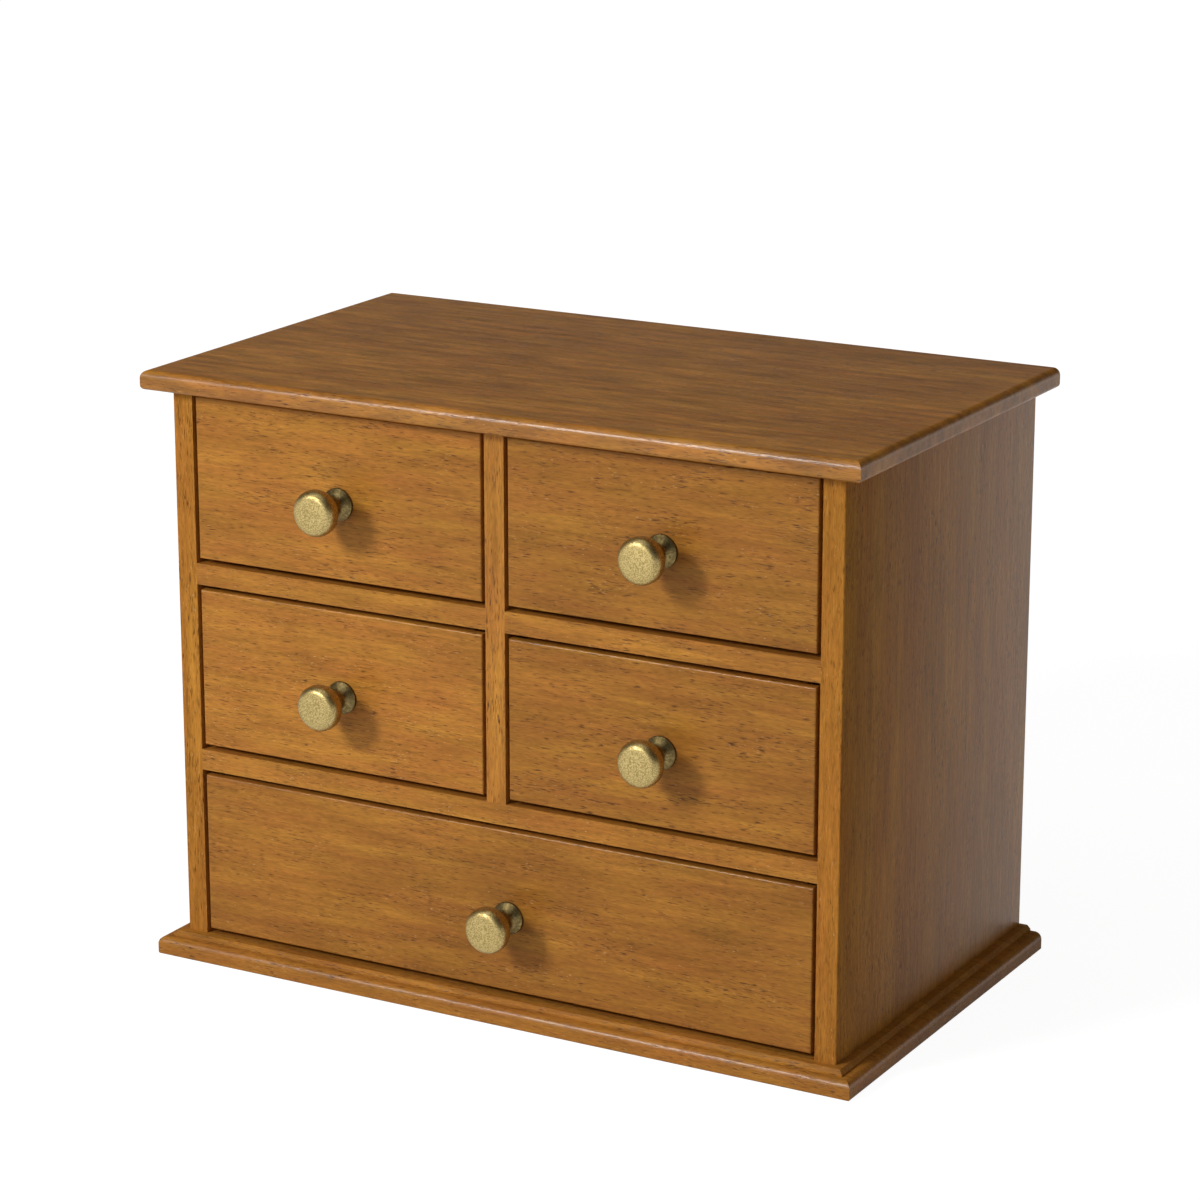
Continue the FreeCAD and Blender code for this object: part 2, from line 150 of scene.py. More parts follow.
def add_mesh(name: str, points: list[Vector], faces: list[tuple[int, ...]],
             material: bpy.types.Material) -> bpy.types.Object:
    """Adds a smooth-shaded mesh object to the scene.

    Args:
        name: the object's name.
        points: the corners of its faces, in metres.
        faces: corner numbers of each face.
        material: its finish.

    Returns:
        The new object.
    """
    mesh = bpy.data.meshes.new(name)
    mesh.from_pydata(points, [], faces)
    mesh.materials.append(material)
    mesh.shade_smooth()
    mesh.update()
    piece = bpy.data.objects.new(name, mesh)
    bpy.context.scene.collection.objects.link(piece)
    return piece


def stretched(tree: bpy.types.NodeTree, place: bpy.types.NodeSocket,
              size_mm: tuple[float, float]) -> bpy.types.NodeSocket:
    """Scales a board's coordinates so that one unit is a pattern's length and width.

    Args:
        tree: the material's node tree.
        place: the coordinates in millimetres, first axis along the grain.
        size_mm: the pattern's size along and across the grain.

    Returns:
        The scaled coordinates.
    """
    length, width = size_mm
    return add_node(tree, "ShaderNodeVectorMath", {0: place, 1: (1 / length, 1 / width, 1 / width)},
                    operation="MULTIPLY").outputs[0]


# Finishes

@dataclass(frozen=True)
class StainedHardwood:
    """Fine-grained hardwood, planed, stained honey-brown and sprayed with semi-gloss lacquer.

    The eye gets soft bands of lighter and darker wood, short fine fibres, crowds of small dark
    pores along the grain and faint pale flecks, which are painted glints of the lacquer. The lacquer is a
    thin clear coat over dull wood.
    It gives a low gloss that sinks into the pores and brightens on rounded upper edges.
    """

    name: str
    grain: Grain
    seed: int
    low: Vector
    high: Vector
    tone: float = 1.0
    seed_step_mm: tuple[float, float, float] = (137.0, 71.0, 43.0)
    pith_mm: tuple[float, float] = (70.0, 30.0)
    tilt: float = 0.03
    light: str = "C48A36"
    dark: str = "905C22"
    ruddy: str = "A8692E"
    pore: str = "553217"
    # The pale fleck colour is a painted glint, a painted highlight of the lacquer at the pores
    painted_glint: str = "D9AE76"
    ring_width_mm: float = 9.0
    ring_wander_mm: float = 12.0
    wander_mm: tuple[float, float] = (90.0, 30.0)
    ring_share: float = 0.4
    noise_span: tuple[float, float] = (0.28, 0.72)
    band_mm: tuple[float, float] = (70.0, 9.0)
    broad_mm: tuple[float, float] = (120.0, 34.0)
    warm_mm: tuple[float, float] = (55.0, 8.0)
    streak_mm: tuple[float, float] = (30.0, 2.0)
    fibre_mm: tuple[float, float] = (5.0, 0.7)
    crowd_mm: tuple[float, float] = (34.0, 12.0)
    crowd_reach: float = 0.06
    pore_mm: tuple[float, float] = (5.4, 0.62)
    pore_levels: tuple[float, float] = (0.55, 0.84)
    painted_glint_mm: tuple[float, float] = (2.6, 0.6)
    painted_glint_levels: tuple[float, float] = (0.68, 0.80)
    painted_glint_strength: float = 0.5
    warm_reach: float = 0.75
    broad_levels: tuple[float, float] = (0.9, 1.12)
    streak_depth: float = 0.16
    fibre_depth: float = 0.14
    sag_mm: tuple[float, float] = (8.0, 3.0)
    pore_sink: float = 0.8
    relief: float = 0.18 * MM
    relief_strength: float = 0.5
    under_roughness: float = 0.6
    roughness: float = 0.32
    lacquer_front: float = 0.28
    lacquer_rear: float = 0.28
    edge_lacquer: float = 0.6
    edge_rise: float = 0.4

    def rings(self, tree: bpy.types.NodeTree, place: bpy.types.NodeSocket,
              fibres: bpy.types.NodeSocket) -> bpy.types.NodeSocket:
        """Makes the growth rings as an uneven pattern of the distance to the tree's tilted pith.

        Args:
            tree: the material's node tree.
            place: the object's own coordinates, in metres.
            fibres: the board's coordinates in millimetres, first axis along the grain.

        Returns:
            A value from 0 to 1.
        """
        turn = Euler((0.0, self.tilt, self.tilt)).to_matrix() @ Euler(self.grain.value).to_matrix()
        middle = turn @ ((self.low + self.high) / 2 * PER_MM)
        shift = Vector((0.0, *self.pith_mm)) - middle
        pith = add_node(tree, "ShaderNodeMapping",
                        {"Vector": place, "Location": shift, "Rotation": turn.to_euler(),
                         "Scale": (PER_MM, PER_MM, PER_MM)}).outputs[0]
        flat = add_node(tree, "ShaderNodeVectorMath", {0: pith, 1: (0.0, 1.0, 1.0)},
                        operation="MULTIPLY").outputs[0]
        radius = add_node(tree, "ShaderNodeVectorMath", {0: flat}, operation="LENGTH").outputs["Value"]
        wander = add_node(tree, "ShaderNodeTexNoise",
                          {"Vector": stretched(tree, fibres, self.wander_mm),
                           "Scale": 1.0}).outputs[0]
        bent = add_node(tree, "ShaderNodeMath", {0: wander, 1: self.ring_wander_mm, 2: radius},
                        operation="MULTIPLY_ADD").outputs[0]
        return add_node(tree, "ShaderNodeTexNoise",
                        {"W": bent, "Scale": 1 / self.ring_width_mm, "Detail": 2.5, "Roughness": 0.6},
                        noise_dimensions="1D").outputs[0]

    def noise(self, tree: bpy.types.NodeTree, fibres: bpy.types.NodeSocket,
              size_mm: tuple[float, float], low: float, high: float,
              detail: float = 2.0) -> bpy.types.NodeSocket:
        """Makes noise stretched along the grain, between two levels.

        Args:
            tree: the material's node tree.
            fibres: the board's coordinates in millimetres, first axis along the grain.
            size_mm: the size of its features along and across the grain.
            low: its lower level.
            high: its upper level.
            detail: how many finer layers it has.

        Returns:
            A value from low to high.
        """
        raw = add_node(tree, "ShaderNodeTexNoise",
                       {"Vector": stretched(tree, fibres, size_mm), "Scale": 1.0,
                        "Detail": detail}).outputs[0]
        return add_node(tree, "ShaderNodeMapRange",
                        {"Value": raw, "From Min": self.noise_span[0],
                         "From Max": self.noise_span[1], "To Min": low, "To Max": high}).outputs[0]

    def specks(self, tree: bpy.types.NodeTree, fibres: bpy.types.NodeSocket,
               size_mm: tuple[float, float], crowd: bpy.types.NodeSocket,
               levels: tuple[float, float]) -> bpy.types.NodeSocket:
        """Makes short uneven dashes along the grain, from the peaks of stretched noise.

        Args:
            tree: the material's node tree.
            fibres: the board's coordinates in millimetres, first axis along the grain.
            size_mm: the size of the noise along and across the grain.
            crowd: where they crowd, added to the noise.
            levels: where a dash starts, and where it is at its strongest.

        Returns:
            A value from 0 to 1 inside a dash.
        """
        raw = add_node(tree, "ShaderNodeTexNoise",
                       {"Vector": stretched(tree, fibres, size_mm), "Scale": 1.0,
                        "Detail": 1.0}).outputs[0]
        raised = add_node(tree, "ShaderNodeMath", {0: raw, 1: crowd}, operation="ADD").outputs[0]
        return add_node(tree, "ShaderNodeMapRange",
                        {"Value": raised, "From Min": levels[0], "From Max": levels[1]},
                        interpolation_type="SMOOTHSTEP").outputs[0]

    def stained(self, tree: bpy.types.NodeTree, figure: bpy.types.NodeSocket,
                fibres: bpy.types.NodeSocket, crowd: bpy.types.NodeSocket,
                pores: bpy.types.NodeSocket) -> bpy.types.NodeSocket:
        """Colours the wood: bands first, then streaks and fibres, pores and painted glints.

        Args:
            tree: the material's node tree.
            figure: the bands, from 0 for dark to 1 for light.
            fibres: the board's coordinates in millimetres, first axis along the grain.
            crowd: where pores and painted glints crowd.
            pores: the pores, from 0 to 1.

        Returns:
            The colour.
        """
        bands = add_node(tree, "ShaderNodeMix",
                         {0: figure, 6: linear_colour(self.dark, self.tone),
                          7: linear_colour(self.light, self.tone)}, data_type="RGBA").outputs[2]
        warmth = self.noise(tree, fibres, self.warm_mm, 0.0, self.warm_reach)
        warmed = add_node(tree, "ShaderNodeMix",
                          {0: warmth, 6: bands, 7: linear_colour(self.ruddy, self.tone)},
                          data_type="RGBA").outputs[2]
        broad = self.noise(tree, fibres, self.broad_mm, *self.broad_levels)
        streaks = self.noise(tree, fibres, self.streak_mm, 1 - self.streak_depth, 1 + self.streak_depth,
                             detail=3.0)
        fine = self.noise(tree, fibres, self.fibre_mm, 1 - self.fibre_depth, 1 + self.fibre_depth,
                          detail=1.0)
        uneven = add_node(tree, "ShaderNodeMath", {0: broad, 1: streaks}, operation="MULTIPLY").outputs[0]
        shade = add_node(tree, "ShaderNodeMath", {0: uneven, 1: fine}, operation="MULTIPLY").outputs[0]
        streaked = add_node(tree, "ShaderNodeVectorMath", {0: warmed, 3: shade},
                            operation="SCALE").outputs[0]
        pored = add_node(tree, "ShaderNodeMix",
                         {0: pores, 6: streaked, 7: linear_colour(self.pore, self.tone)},
                         data_type="RGBA").outputs[2]
        # Pale flecks painted into the colour as glints: painted highlights of the lacquer at the pores
        painted_glints = self.specks(tree, fibres, self.painted_glint_mm, crowd, self.painted_glint_levels)
        faint = add_node(tree, "ShaderNodeMath", {0: painted_glints, 1: self.painted_glint_strength},
                         operation="MULTIPLY").outputs[0]
        return add_node(tree, "ShaderNodeMix",
                        {0: faint, 6: pored, 7: linear_colour(self.painted_glint, self.tone)},
                        data_type="RGBA").outputs[2]

    def edges(self, tree: bpy.types.NodeTree) -> bpy.types.NodeSocket:
        """Finds the rounded upper edges, where lacquer builds up, by their slope.

        Args:
            tree: the material's node tree.

        Returns:
            How much more coat they have than the board's faces.
        """
        normal = add_node(tree, "ShaderNodeNewGeometry").outputs["Normal"]
        rise = add_node(tree, "ShaderNodeSeparateXYZ", {0: normal}).outputs[2]
        apart = add_node(tree, "ShaderNodeMath", {0: rise, 1: self.edge_rise},
                         operation="SUBTRACT").outputs[0]
        off = add_node(tree, "ShaderNodeMath", {0: apart}, operation="ABSOLUTE").outputs[0]
        return add_node(tree, "ShaderNodeMapRange",
                        {"Value": off, "From Min": 0.0, "From Max": self.edge_rise,
                         "To Min": self.edge_lacquer, "To Max": 0.0}).outputs[0]

    def build(self) -> bpy.types.Material:
        """Builds the wood's material.

        Returns:
            The finished material.
        """
        material, tree = new_tree(self.name)
        place = add_node(tree, "ShaderNodeTexCoord").outputs["Object"]
        offset = Vector(self.seed_step_mm) * self.seed
        fibres = add_node(tree, "ShaderNodeMapping",
                          {"Vector": place, "Location": offset, "Rotation": self.grain.value,
                           "Scale": (PER_MM, PER_MM, PER_MM)}).outputs[0]
        bands = self.noise(tree, fibres, self.band_mm, 0.0, 1.0)
        figure = add_node(tree, "ShaderNodeMix",
                          {0: self.ring_share, 2: bands,
                           3: self.rings(tree, place, fibres)}).outputs[0]
        crowd = self.noise(tree, fibres, self.crowd_mm, -self.crowd_reach, self.crowd_reach)
        # Real pores are about 0.2 mm wide, drawn coarser so that they show
        pores = self.specks(tree, fibres, self.pore_mm, crowd, self.pore_levels)
        # The lacquer sank unevenly, in waves of a few millimetres, and into the pores
        sag = self.noise(tree, fibres, self.sag_mm, 0.0, 1.0)
        height = add_node(tree, "ShaderNodeMath", {0: pores, 1: -self.pore_sink, 2: sag},
                          operation="MULTIPLY_ADD").outputs[0]
        bump = add_node(tree, "ShaderNodeBump",
                        {"Strength": self.relief_strength, "Distance": self.relief,
                         "Height": height})
        # The lacquer lies thicker towards the back of some boards
        depth = add_node(tree, "ShaderNodeSeparateXYZ", {0: place}).outputs[1]
        level = add_node(tree, "ShaderNodeMapRange",
                         {"Value": depth, "From Min": self.low.y, "From Max": self.high.y,
                          "To Min": self.lacquer_front, "To Max": self.lacquer_rear}).outputs[0]
        lacquer = add_node(tree, "ShaderNodeMath", {0: level, 1: self.edges(tree)},
                           operation="ADD", use_clamp=True).outputs[0]
        shader = add_node(tree, "ShaderNodeBsdfPrincipled",
                          {"Base Color": self.stained(tree, figure, fibres, crowd, pores),
                           "Roughness": self.under_roughness, "Specular IOR Level": 0.0,
                           "Normal": bump.outputs[0],
                           "Coat Weight": lacquer, "Coat Roughness": self.roughness, "Coat IOR": 1.5,
                           "Coat Normal": bump.outputs[0]})
        add_node(tree, "ShaderNodeOutputMaterial", {0: shader.outputs[0]})
        return material


@dataclass(frozen=True)
class PlanedSoftwood:
    """Pale softwood of the drawer boxes, planed and sealed.

    The eye gets straw-coloured wood with narrow darker late-wood lines and hardly any gloss.
    """

    name: str
    grain: Grain
    seed: int
    early: str = "D2AD79"
    late: str = "BD915B"
    line_mm: tuple[float, float] = (180.0, 2.2)
    fibre_mm: tuple[float, float] = (25.0, 0.6)
    line_levels: tuple[float, float] = (0.45, 0.68)
    line_waviness: float = 0.4
    fibre_levels: tuple[float, float] = (0.25, 0.75)
    fibre_shades: tuple[float, float] = (0.88, 1.08)
    seed_step_mm: tuple[float, float, float] = (91.0, 57.0, 33.0)
    relief: float = 0.1 * MM
    relief_strength: float = 0.4
    roughness: float = 0.62

    def build(self) -> bpy.types.Material:
        """Builds the softwood's material.

        Returns:
            The finished material.
        """
        material, tree = new_tree(self.name)
        place = add_node(tree, "ShaderNodeTexCoord").outputs["Object"]
        offset = Vector(self.seed_step_mm) * self.seed
        fibres = add_node(tree, "ShaderNodeMapping",
                          {"Vector": place, "Location": offset, "Rotation": self.grain.value,
                           "Scale": (PER_MM, PER_MM, PER_MM)}).outputs[0]
        wide = stretched(tree, fibres, self.line_mm)
        lines = add_node(tree, "ShaderNodeTexNoise",
                         {"Vector": wide, "Scale": 0.5, "Detail": 2.0,
                          "Distortion": self.line_waviness}).outputs[0]
        narrow = stretched(tree, fibres, self.fibre_mm)
        streaks = add_node(tree, "ShaderNodeTexNoise", {"Vector": narrow, "Detail": 2.0}).outputs[0]
        late = add_node(tree, "ShaderNodeMapRange",
                        {"Value": lines, "From Min": self.line_levels[0],
                         "From Max": self.line_levels[1]}).outputs[0]
        wood = add_node(tree, "ShaderNodeMix",
                        {0: late, 6: linear_colour(self.early), 7: linear_colour(self.late)},
                        data_type="RGBA").outputs[2]
        shade = add_node(tree, "ShaderNodeMapRange",
                         {"Value": streaks, "From Min": self.fibre_levels[0],
                          "From Max": self.fibre_levels[1], "To Min": self.fibre_shades[0],
                          "To Max": self.fibre_shades[1]}).outputs[0]
        colour = add_node(tree, "ShaderNodeVectorMath", {0: wood, 3: shade}, operation="SCALE").outputs[0]
        bump = add_node(tree, "ShaderNodeBump",
                        {"Strength": self.relief_strength, "Distance": self.relief,
                         "Height": streaks})
        shader = add_node(tree, "ShaderNodeBsdfPrincipled",
                          {"Base Color": colour, "Roughness": self.roughness, "IOR": 1.5,
                           "Specular IOR Level": 0.3, "Normal": bump.outputs[0]})
        add_node(tree, "ShaderNodeOutputMaterial", {0: shader.outputs[0]})
        return material


@dataclass(frozen=True)
class TurnedBrass:
    """Solid brass, turned, tumbled and left to age under thin lacquer.

    The eye gets a pale olive gold with a fine speckle, satin highlights and a darker, mottled
    foot: patina where polishing never reached, darkened further as painted shade under the head.
    """

    face_y: float
    foot_y: float
    name: str = "aged_turned_brass"
    bright: str = "C4AE76"
    aged: str = "988450"
    patina_and_shade_colour: str = "53452A"
    speckle_mm: float = 0.65
    blotch_mm: float = 1.6
    worn_levels: tuple[float, float] = (0.38, 0.6)
    foot_shade_reach: tuple[float, float] = (-0.75, 0.6)
    dull_levels: tuple[float, float] = (0.3, 1.1)
    dull_strength: float = 0.85
    relief: float = 0.1 * MM
    relief_strength: float = 0.35
    roughness: float = 0.42
    duller: float = 0.08
    glossier: float = 0.04

    def build(self) -> bpy.types.Material:
        """Builds the brass material.

        Returns:
            The finished material.
        """
        material, tree = new_tree(self.name)
        place = add_node(tree, "ShaderNodeTexCoord").outputs["Object"]
        # The real speckle is about 0.2 mm, drawn coarser so that it shows
        grains = add_node(tree, "ShaderNodeTexNoise",
                          {"Vector": place, "Scale": PER_MM / self.speckle_mm, "Detail": 1.0}).outputs[0]
        blotches = add_node(tree, "ShaderNodeTexNoise",
                            {"Vector": place, "Scale": PER_MM / self.blotch_mm, "Detail": 2.0}).outputs[0]
        worn = add_node(tree, "ShaderNodeMapRange",
                        {"Value": grains, "From Min": self.worn_levels[0],
                         "From Max": self.worn_levels[1]}).outputs[0]
        polished = add_node(tree, "ShaderNodeMix",
                            {0: worn, 6: linear_colour(self.aged), 7: linear_colour(self.bright)},
                            data_type="RGBA").outputs[2]
        # The foot darkens towards the drawer front: painted shade under the head, with mottled patina
        # over it
        depth = add_node(tree, "ShaderNodeSeparateXYZ", {0: place}).outputs[1]
        foot_shade = add_node(tree, "ShaderNodeMapRange",
                          {"Value": depth, "From Min": self.face_y, "From Max": self.foot_y,
                           "To Min": self.foot_shade_reach[0], "To Max": self.foot_shade_reach[1]}).outputs[0]
        patina_and_foot_shade = add_node(tree, "ShaderNodeMath", {0: foot_shade, 1: blotches}, operation="ADD").outputs[0]
        dark = add_node(tree, "ShaderNodeMapRange",
                        {"Value": patina_and_foot_shade, "From Min": self.dull_levels[0],
                         "From Max": self.dull_levels[1], "To Max": self.dull_strength}).outputs[0]
        colour = add_node(tree, "ShaderNodeMix",
                          {0: dark, 6: polished, 7: linear_colour(self.patina_and_shade_colour)},
                          data_type="RGBA").outputs[2]
        gloss = add_node(tree, "ShaderNodeMapRange",
                         {"Value": grains, "From Min": 0.3, "From Max": 0.7,
                          "To Min": self.roughness + self.duller,
                          "To Max": self.roughness - self.glossier}).outputs[0]
        bump = add_node(tree, "ShaderNodeBump",
                        {"Strength": self.relief_strength, "Distance": self.relief,
                         "Height": grains})
        shader = add_node(tree, "ShaderNodeBsdfPrincipled",
                          {"Base Color": colour, "Metallic": 1.0, "Roughness": gloss,
                           "Normal": bump.outputs[0]})
        add_node(tree, "ShaderNodeOutputMaterial", {0: shader.outputs[0]})
        return material


# Sub-assemblies

@dataclass
class Case:
    """The fixed boards: top, base, sides, divider, shelves and back."""

    upright: tuple[str, ...] = ("side_panel_left", "side_panel_right", "divider")
    level: tuple[str, ...] = ("top_board", "base_board", "upper_shelf_left", "upper_shelf_right",
                              "lower_shelf")
    side_lacquer: tuple[float, float] = (0.06, 0.8)
    side_warm_mm: tuple[float, float] = (160.0, 20.0)
    top_lacquer: tuple[float, float] = (0.59, 0.77)
    top_band_mm: tuple[float, float] = (110.0, 22.0)
    top_streak_mm: tuple[float, float] = (34.0, 6.0)
    top_streak_depth: float = 0.32
    tones: tuple[tuple[str, float], ...] = (
        ("divider", 1.08), ("side_panel_left", 1.02), ("base_board", 0.95), ("lower_shelf", 1.05),
        ("top_board", 0.96))

    def dress_boards(self) -> None:
        """Gives each board its own cut of the stained wood, and the back its veneer."""
        for number, node in enumerate(self.upright + self.level, start=1):
            low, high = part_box(node)
            grain = Grain.ALONG_Z if node in self.upright else Grain.ALONG_X
            wood = StainedHardwood(f"stained_hardwood_{node}", grain, number, low, high,
                                   dict(self.tones).get(node, 1.0))
            if node == "top_board":
                wood = replace(wood, band_mm=self.top_band_mm, streak_mm=self.top_streak_mm,
                               streak_depth=self.top_streak_depth,
                               lacquer_front=self.top_lacquer[0], lacquer_rear=self.top_lacquer[1])
            elif node.startswith("side_panel"):
                wood = replace(wood, warm_mm=self.side_warm_mm, lacquer_front=self.side_lacquer[0],
                               lacquer_rear=self.side_lacquer[1])
            dress(node, wood.build())
        veneer = PlanedSoftwood("sanded_veneer", Grain.ALONG_Z, 4, early="C49B66", late="B48854",
                                line_mm=(180.0, 5.0))
        dress("back_panel", veneer.build())


@dataclass
class BackPins:
    """Small brassed panel pins that hold the back in the sides' rebates."""

    per_side: int = 5
    side_inset: float = 3.0 * MM
    end_inset: float = 20.0 * MM
    head_radius: float = 1.2 * MM
    head_rise: float = 0.35 * MM
    rim_share: float = 0.75
    rim_rise: float = 0.8
    turn_steps: int = 16

    def places(self) -> list[Vector]:
        """Spaces the pins evenly down both sides of the back.

        Returns:
            The middle of each head, on the back's outer face.
        """
        low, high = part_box("back_panel")
        run = high.z - low.z - 2 * self.end_inset
        heights = [low.z + self.end_inset + run * step / (self.per_side - 1)
                   for step in range(self.per_side)]
        return [Vector((x, high.y, z)) for x in (low.x + self.side_inset, high.x - self.side_inset)
                for z in heights]

    def build(self, brass: bpy.types.Material) -> bpy.types.Object:
        """Turns a low domed head for each pin.

        Args:
            brass: the heads' finish.

        Returns:
            All the heads as one piece.
        """
        points, faces = [], []
        rings = ((self.head_radius, 0.0),
                 (self.head_radius * self.rim_share, self.head_rise * self.rim_rise))
        count = self.turn_steps
        for place in self.places():
            first = len(points)
            for across, rise in rings:
                for step in range(count):
                    angle = 2 * math.pi * step / count
                    offset = (across * math.sin(angle), rise, across * math.cos(angle))
                    points.append(place + Vector(offset))
            points.append(place + Vector((0.0, self.head_rise, 0.0)))
            for step in range(count):
                after = (step + 1) % count
                faces.append((first + step, first + after, first + count + after, first + count + step))
                faces.append((first + count + step, first + count + after, first + 2 * count))
        heads = add_mesh("back_panel_pins", points, faces, brass)
        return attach(heads, "case")


@dataclass
class Drawer:
    """One drawer: its boards and its turned knob."""

    name: str
    seed: int
    tone: float
    head_radius: float = 12.5 * MM
    crown: float = 0.4 * MM
    head_depth: float = 11.0 * MM
    neck_radius: float = 4.6 * MM
    flange_radius: float = 9.0 * MM
    flange_edge: float = 1.2 * MM
    flare_start: float = 4.4 * MM
    shoulder_round: float = 4.6 * MM
    rear_round: float = 4.4 * MM
    neck_round: float = 2.6 * MM
    flare_round: float = 3.4 * MM
    flange_round: float = 0.5 * MM
    round_steps: int = 10
    turn_steps: int = 96
    crown_steps: int = 6
    first_front_seed: int = 20

    def knob_outline(self, reach: float) -> list[tuple[float, float]]:
        """Draws the knob's half outline, from the middle of its face to its foot.

        Args:
            reach: how far the face stands out from the drawer front.

        Returns:
            Pairs of distance from the axis and distance from the drawer front.
        """
        flat = self.head_radius - self.shoulder_round
        dome = [(flat * step / self.crown_steps, reach - self.crown * (step / self.crown_steps) ** 2)
                for step in range(self.crown_steps)]
        edge = reach - self.crown
        underside = reach - self.head_depth
        corners = [(dome[-1], 0.0), ((self.head_radius, edge), self.shoulder_round),
                   ((self.head_radius, underside), self.rear_round),
                   ((self.neck_radius, underside), self.neck_round),
                   ((self.neck_radius, self.flare_start), self.flare_round),
                   ((self.flange_radius, self.flange_edge), self.flange_round),
                   ((self.flange_radius, 0.0), 0.0)]
        outline = dome[:-1]
        for number, ((across, out), size) in enumerate(corners):
            here = Vector((across, out))
            if size == 0.0:
                outline.append((across, out))
                continue
            before = (Vector(corners[number - 1][0]) - here).normalized()
            after = (Vector(corners[number + 1][0]) - here).normalized()
            half = before.angle(after) / 2
            start = here + before * size / math.tan(half)
            middle = here + (before + after).normalized() * size / math.sin(half)
            sweep = math.pi - 2 * half
            first = start - middle
            sign = 1 if first.x * (here - middle).y - first.y * (here - middle).x > 0 else -1
            for step in range(self.round_steps + 1):
                turned = Matrix.Rotation(sign * sweep * step / self.round_steps, 2) @ first
                outline.append(tuple(middle + turned))
        return outline

    def turn_knob(self, brass: bpy.types.Material) -> bpy.types.Object:
        """Turns the knob's outline about its axis.

        Args:
            brass: the knob's finish.

        Returns:
            The knob.
        """
        low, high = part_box(f"{self.name}_knob")
        face_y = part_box(f"{self.name}_front")[0].y
        axis = Vector(((low.x + high.x) / 2, face_y, (low.z + high.z) / 2))
        outline = self.knob_outline(face_y - low.y)
        points = [axis + Vector((0.0, -outline[0][1], 0.0))]
        for across, out in outline[1:]:
            for step in range(self.turn_steps):
                angle = 2 * math.pi * step / self.turn_steps
                points.append(axis + Vector((across * math.cos(angle), -out, across * math.sin(angle))))
        count = self.turn_steps
        faces = [(0, 1 + (step + 1) % count, 1 + step) for step in range(count)]
        for ring in range(len(outline) - 2):
            first = 1 + ring * count
            for step in range(count):
                after = (step + 1) % count
                faces.append((first + step, first + after, first + count + after, first + count + step))
        knob = add_mesh(f"{self.name}_turned_knob", points, faces, brass)
        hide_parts(f"{self.name}_knob")
        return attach(knob, f"{self.name}_drawer")

    def dress_boards(self) -> None:
        """Gives the front its stained wood and the box its plain softwood."""
        low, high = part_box(f"{self.name}_front")
        wood = StainedHardwood(f"stained_hardwood_{self.name}_front", Grain.ALONG_X,
                               self.first_front_seed + self.seed, low, high, self.tone)
        dress(f"{self.name}_front", wood.build())
        for piece, grain in (("side_left", Grain.ALONG_Y), ("side_right", Grain.ALONG_Y),
                             ("back", Grain.ALONG_X), ("bottom", Grain.ALONG_X)):
            softwood = PlanedSoftwood(f"planed_softwood_{self.name}_{piece}", grain, self.seed)
            dress(f"{self.name}_{piece}", softwood.build())


# Studio

@dataclass(frozen=True)
class Lamp:
    """A square soft lamp that faces the middle of the chest.

    Its azimuth is in degrees to the right of the line straight out from the drawers, its
    elevation in degrees above the floor, its distance and side in metres, its power in watts.
    """

    name: str
    azimuth: float
    elevation: float
    distance: float
    side: float
    power: float
    middle_height: float = 0.17

    def build(self) -> None:
        """Adds the lamp to the scene."""
        turn, rise = math.radians(self.azimuth), math.radians(self.elevation)
        way = Vector((math.sin(turn) * math.cos(rise), -math.cos(turn) * math.cos(rise), math.sin(rise)))
        data = bpy.data.lights.new(self.name, "AREA")
        data.size = self.side
        data.energy = self.power
        lamp = bpy.data.objects.new(self.name, data)
        lamp.location = Vector((0.0, 0.0, self.middle_height)) + way * self.distance
        lamp.rotation_euler = way.to_track_quat("Z", "Y").to_euler()
        bpy.context.scene.collection.objects.link(lamp)


